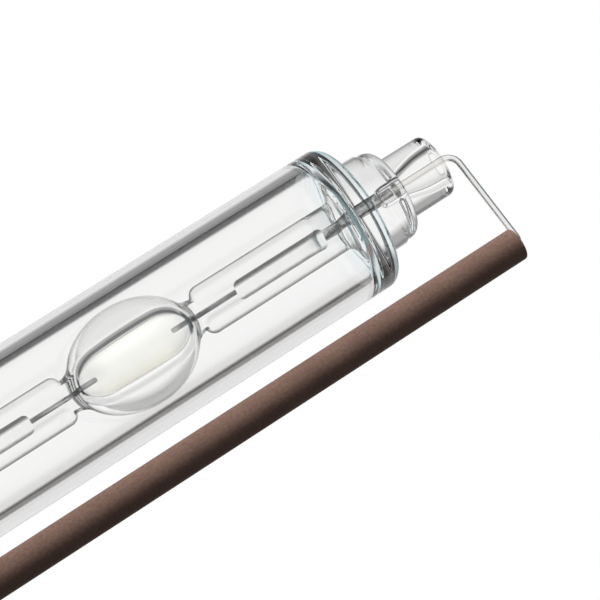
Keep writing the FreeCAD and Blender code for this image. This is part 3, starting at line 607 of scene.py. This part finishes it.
# Ceramic tube: fired brown ceramic that keeps the return wire's high voltage off the bulb.
# It is extruded, cut to length and matt, with a fine grain and a soft mottle.
CERAMIC_RADIUS = 0.98
CERAMIC_BORE = 0.5
ceramic_top = WIRE_TOP - WIRE_RADIUS
ceramic_foot = 22.0 - ARC_HEIGHT
tube = [(CERAMIC_BORE, ceramic_top - 0.08), (CERAMIC_BORE + 0.06, ceramic_top - 0.01)]
tube += [(CERAMIC_BORE + 0.1, ceramic_top)]
tube += arc_points((CERAMIC_RADIUS - 0.13, ceramic_top - 0.13), 0.13, 90, 0, 6)
tube += arc_points((CERAMIC_RADIUS - 0.13, ceramic_foot + 0.13), 0.13, 0, -90, 6)
tube += [(CERAMIC_BORE, ceramic_foot), (CERAMIC_BORE, ceramic_top - 0.08)]
ceramic = lathe("ceramic_sleeve", tube, turns=72, centre=(RETURN_DISTANCE, 0))
bpy.ops.object.shade_smooth_by_angle(angle=math.radians(40))
fired = bpy.data.materials.new("fired_brown_ceramic")
fired.use_nodes = True
tree = fired.node_tree
shader = tree.nodes["Principled BSDF"]
shader.inputs["Roughness"].default_value = 0.7
shader.inputs["Specular IOR Level"].default_value = 0.12
place = tree.nodes.new("ShaderNodeTexCoord")
grain = tree.nodes.new("ShaderNodeTexNoise")
grain.inputs["Scale"].default_value = 5200
grain.inputs["Detail"].default_value = 6
grain.inputs["Roughness"].default_value = 0.65
mottle = tree.nodes.new("ShaderNodeTexNoise")
mottle.inputs["Scale"].default_value = 420
mottle.inputs["Detail"].default_value = 3
tint = tree.nodes.new("ShaderNodeValToRGB")
tint.color_ramp.elements[0].position = 0.3
tint.color_ramp.elements[0].color = (0.100, 0.060, 0.047, 1)
tint.color_ramp.elements[1].position = 0.72
tint.color_ramp.elements[1].color = (0.155, 0.098, 0.078, 1)
mixer = tree.nodes.new("ShaderNodeMix")
mixer.data_type = "RGBA"
mixer.blend_type = "MULTIPLY"
mixer.inputs["Factor"].default_value = 0.5
patch = tree.nodes.new("ShaderNodeValToRGB")
patch.color_ramp.elements[0].position = 0.3
patch.color_ramp.elements[0].color = (0.72, 0.70, 0.70, 1)
patch.color_ramp.elements[1].position = 0.7
patch.color_ramp.elements[1].color = (1, 1, 1, 1)
bump = tree.nodes.new("ShaderNodeBump")
bump.inputs["Strength"].default_value = 0.5
bump.inputs["Distance"].default_value = 0.00003
tree.links.new(place.outputs["Object"], grain.inputs["Vector"])
tree.links.new(place.outputs["Object"], mottle.inputs["Vector"])
tree.links.new(grain.outputs["Fac"], tint.inputs["Fac"])
tree.links.new(mottle.outputs["Fac"], patch.inputs["Fac"])
tree.links.new(tint.outputs["Color"], mixer.inputs["A"])
tree.links.new(patch.outputs["Color"], mixer.inputs["B"])
tree.links.new(mixer.outputs["Result"], shader.inputs["Base Color"])
tree.links.new(grain.outputs["Fac"], bump.inputs["Height"])
tree.links.new(bump.outputs["Normal"], shader.inputs["Normal"])
ceramic.data.materials.append(fired)
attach(ceramic, "root")
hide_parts("ceramic_tube")

# Cap: one black moulding with a fine grain, which carries the glass and the contacts. It
# keeps the shape of its solid, as the next pieces do, and only takes its finish here.
moulding = bpy.data.materials.new("black_moulding")
moulding.use_nodes = True
tree = moulding.node_tree
shader = tree.nodes["Principled BSDF"]
place = tree.nodes.new("ShaderNodeTexCoord")
grain = tree.nodes.new("ShaderNodeTexNoise")
grain.inputs["Scale"].default_value = 2200
grain.inputs["Detail"].default_value = 4
tint = tree.nodes.new("ShaderNodeValToRGB")
tint.color_ramp.elements[0].color = (0.028, 0.028, 0.030, 1)
tint.color_ramp.elements[1].color = (0.060, 0.060, 0.062, 1)
rough = tree.nodes.new("ShaderNodeMapRange")
rough.inputs["To Min"].default_value = 0.42
rough.inputs["To Max"].default_value = 0.6
bump = tree.nodes.new("ShaderNodeBump")
bump.inputs["Strength"].default_value = 0.4
bump.inputs["Distance"].default_value = 0.00004
tree.links.new(place.outputs["Object"], grain.inputs["Vector"])
tree.links.new(grain.outputs["Fac"], tint.inputs["Fac"])
tree.links.new(grain.outputs["Fac"], rough.inputs["Value"])
tree.links.new(grain.outputs["Fac"], bump.inputs["Height"])
tree.links.new(tint.outputs["Color"], shader.inputs["Base Color"])
tree.links.new(rough.outputs["Result"], shader.inputs["Roughness"])
tree.links.new(bump.outputs["Normal"], shader.inputs["Normal"])
nodes["lamp_cap"].data.materials.clear()
nodes["lamp_cap"].data.materials.append(moulding)

# Clamp sleeve and holder ring: stamped stainless spring steel with a brushed grain. The
# split sleeve grips the bulb, and the ring's four tabs are welded to it.
spring_steel = bpy.data.materials.new("stamped_spring_steel")
spring_steel.use_nodes = True
tree = spring_steel.node_tree
shader = tree.nodes["Principled BSDF"]
shader.inputs["Metallic"].default_value = 1.0
shader.inputs["Roughness"].default_value = 0.34
place = tree.nodes.new("ShaderNodeTexCoord")
stretch = tree.nodes.new("ShaderNodeMapping")
stretch.inputs["Scale"].default_value = (1, 1, 14)
streak = tree.nodes.new("ShaderNodeTexNoise")
streak.inputs["Scale"].default_value = 500
streak.inputs["Detail"].default_value = 4
tint = tree.nodes.new("ShaderNodeValToRGB")
tint.color_ramp.elements[0].color = (0.50, 0.50, 0.49, 1)
tint.color_ramp.elements[1].color = (0.68, 0.68, 0.67, 1)
tree.links.new(place.outputs["Object"], stretch.inputs["Vector"])
tree.links.new(stretch.outputs["Vector"], streak.inputs["Vector"])
tree.links.new(streak.outputs["Fac"], tint.inputs["Fac"])
tree.links.new(tint.outputs["Color"], shader.inputs["Base Color"])
for name in ("clamp_sleeve", "holder_ring"):
    nodes[name].data.materials.clear()
    nodes[name].data.materials.append(spring_steel)

# Contacts: tin-plated brass. The band is rolled and pressed round the cap's rear, and the
# centre contact is turned and pressed into the boss in the socket.
plated = bpy.data.materials.new("tinned_brass")
plated.use_nodes = True
tree = plated.node_tree
shader = tree.nodes["Principled BSDF"]
shader.inputs["Metallic"].default_value = 1.0
place = tree.nodes.new("ShaderNodeTexCoord")
cloud = tree.nodes.new("ShaderNodeTexNoise")
cloud.inputs["Scale"].default_value = 700
cloud.inputs["Detail"].default_value = 5
tint = tree.nodes.new("ShaderNodeValToRGB")
tint.color_ramp.elements[0].color = (0.46, 0.41, 0.29, 1)
tint.color_ramp.elements[1].color = (0.62, 0.57, 0.45, 1)
rough = tree.nodes.new("ShaderNodeMapRange")
rough.inputs["To Min"].default_value = 0.24
rough.inputs["To Max"].default_value = 0.4
tree.links.new(place.outputs["Object"], cloud.inputs["Vector"])
tree.links.new(cloud.outputs["Fac"], tint.inputs["Fac"])
tree.links.new(cloud.outputs["Fac"], rough.inputs["Value"])
tree.links.new(tint.outputs["Color"], shader.inputs["Base Color"])
tree.links.new(rough.outputs["Result"], shader.inputs["Roughness"])
for name in ("side_contact", "centre_contact"):
    nodes[name].data.materials.clear()
    nodes[name].data.materials.append(plated)

# Studio: a pale floor under the cap, a white surround and soft lamps from above. Clear glass
# shows only what it bends, so the surround has grey strips round it and a dark canopy over it.
# Matt pieces are lit by a soft dome instead, which leans away from the ceramic tube.
clear_selection()
bpy.ops.mesh.primitive_plane_add(size=3.0, location=(0, 0, 0))
floor = bpy.context.object
floor.name = "floor"
pale = bpy.data.materials.new("pale_floor")
pale.use_nodes = True
pale.node_tree.nodes["Principled BSDF"].inputs["Base Color"].default_value = (0.92, 0.92, 0.92, 1)
pale.node_tree.nodes["Principled BSDF"].inputs["Roughness"].default_value = 0.9
floor.data.materials.append(pale)
floor.visible_diffuse = False
floor.visible_transmission = False
floor.visible_glossy = False

world = bpy.data.worlds.new("studio")
bpy.context.scene.world = world
world.use_nodes = True
tree = world.node_tree
tree.nodes.clear()
output = tree.nodes.new("ShaderNodeOutputWorld")
soft = tree.nodes.new("ShaderNodeBackground")
soft.inputs["Strength"].default_value = 1.0
overhead = tree.nodes.new("ShaderNodeValToRGB")
overhead.color_ramp.elements[0].position = 0.1
overhead.color_ramp.elements[0].color = (0.03, 0.03, 0.03, 1)
overhead.color_ramp.elements[1].position = 0.7
overhead.color_ramp.elements[1].color = (1.35, 1.35, 1.35, 1)
white = tree.nodes.new("ShaderNodeBackground")
white.inputs["Strength"].default_value = 1.0
sky = tree.nodes.new("ShaderNodeTexCoord")
swing = tree.nodes.new("ShaderNodeMapping")
swing.inputs["Rotation"].default_value = (0, 0, -math.radians(106.5))
around = tree.nodes.new("ShaderNodeTexGradient")
around.gradient_type = "RADIAL"
strips = tree.nodes.new("ShaderNodeValToRGB")
strips.color_ramp.elements[0].position = 0.32
strips.color_ramp.elements[0].color = (1, 1, 1, 1)
strips.color_ramp.elements[1].position = 0.73
strips.color_ramp.elements[1].color = (1, 1, 1, 1)
GREY_STRIPS = ((0.345, 0.77), (0.455, 0.77), (0.488, 0.93), (0.572, 0.90),
               (0.60, 0.34), (0.64, 0.30), (0.66, 0.04), (0.705, 0.04))
for stop, grey in GREY_STRIPS:
    strip = strips.color_ramp.elements.new(stop)
    strip.color = (grey, grey, grey, 1)
height = tree.nodes.new("ShaderNodeSeparateXYZ")
lean = tree.nodes.new("ShaderNodeMapping")
lean.inputs["Rotation"].default_value = (0, math.radians(40), 0)
tilted = tree.nodes.new("ShaderNodeSeparateXYZ")
canopy = tree.nodes.new("ShaderNodeValToRGB")
canopy.color_ramp.elements[0].position = 0.66
canopy.color_ramp.elements[0].color = (1, 1, 1, 1)
canopy.color_ramp.elements[1].position = 0.8
canopy.color_ramp.elements[1].color = (0.15, 0.23, 0.255, 1)
under = tree.nodes.new("ShaderNodeMix")
under.data_type = "RGBA"
under.blend_type = "MULTIPLY"
under.inputs["Factor"].default_value = 1.0
seen = tree.nodes.new("ShaderNodeMix")
seen.data_type = "RGBA"
seen.inputs["B"].default_value = (1, 1, 1, 1)
rays = tree.nodes.new("ShaderNodeLightPath")
either = tree.nodes.new("ShaderNodeMath")
either.operation = "MAXIMUM"
any_of = tree.nodes.new("ShaderNodeMath")
any_of.operation = "MAXIMUM"
mix = tree.nodes.new("ShaderNodeMixShader")
tree.links.new(rays.outputs["Is Camera Ray"], either.inputs[0])
tree.links.new(rays.outputs["Is Glossy Ray"], either.inputs[1])
tree.links.new(either.outputs[0], any_of.inputs[0])
tree.links.new(rays.outputs["Is Transmission Ray"], any_of.inputs[1])
tree.links.new(any_of.outputs[0], mix.inputs["Fac"])
tree.links.new(sky.outputs["Generated"], swing.inputs["Vector"])
tree.links.new(swing.outputs["Vector"], around.inputs["Vector"])
tree.links.new(around.outputs["Fac"], strips.inputs["Fac"])
tree.links.new(rays.outputs["Is Camera Ray"], seen.inputs["Factor"])
tree.links.new(sky.outputs["Generated"], height.inputs["Vector"])
tree.links.new(height.outputs["Z"], canopy.inputs["Fac"])
tree.links.new(sky.outputs["Generated"], lean.inputs["Vector"])
tree.links.new(lean.outputs["Vector"], tilted.inputs["Vector"])
tree.links.new(tilted.outputs["Z"], overhead.inputs["Fac"])
tree.links.new(overhead.outputs["Color"], soft.inputs["Color"])
tree.links.new(strips.outputs["Color"], under.inputs["A"])
tree.links.new(canopy.outputs["Color"], under.inputs["B"])
tree.links.new(under.outputs["Result"], seen.inputs["A"])
tree.links.new(seen.outputs["Result"], white.inputs["Color"])
tree.links.new(soft.outputs[0], mix.inputs[1])
tree.links.new(white.outputs[0], mix.inputs[2])
tree.links.new(mix.outputs[0], output.inputs["Surface"])

SOFT_LAMPS = (("key", (-0.38, -0.22, 0.32), 0.22, 5.6), ("fill", (0.10, -0.5, 0.3), 0.35, 0.2))
for name, spot, size, power in SOFT_LAMPS:
    lamp_data = bpy.data.lights.new(name, "AREA")
    lamp_data.size = size
    lamp_data.energy = power
    lamp = bpy.data.objects.new(name, lamp_data)
    lamp.location = spot
    lamp.visible_glossy = False
    lamp.visible_transmission = False
    aim = Vector((0, 0, 0.04)) - Vector(spot)
    lamp.rotation_euler = aim.to_track_quat("-Z", "Y").to_euler()
    bpy.context.scene.collection.objects.link(lamp)
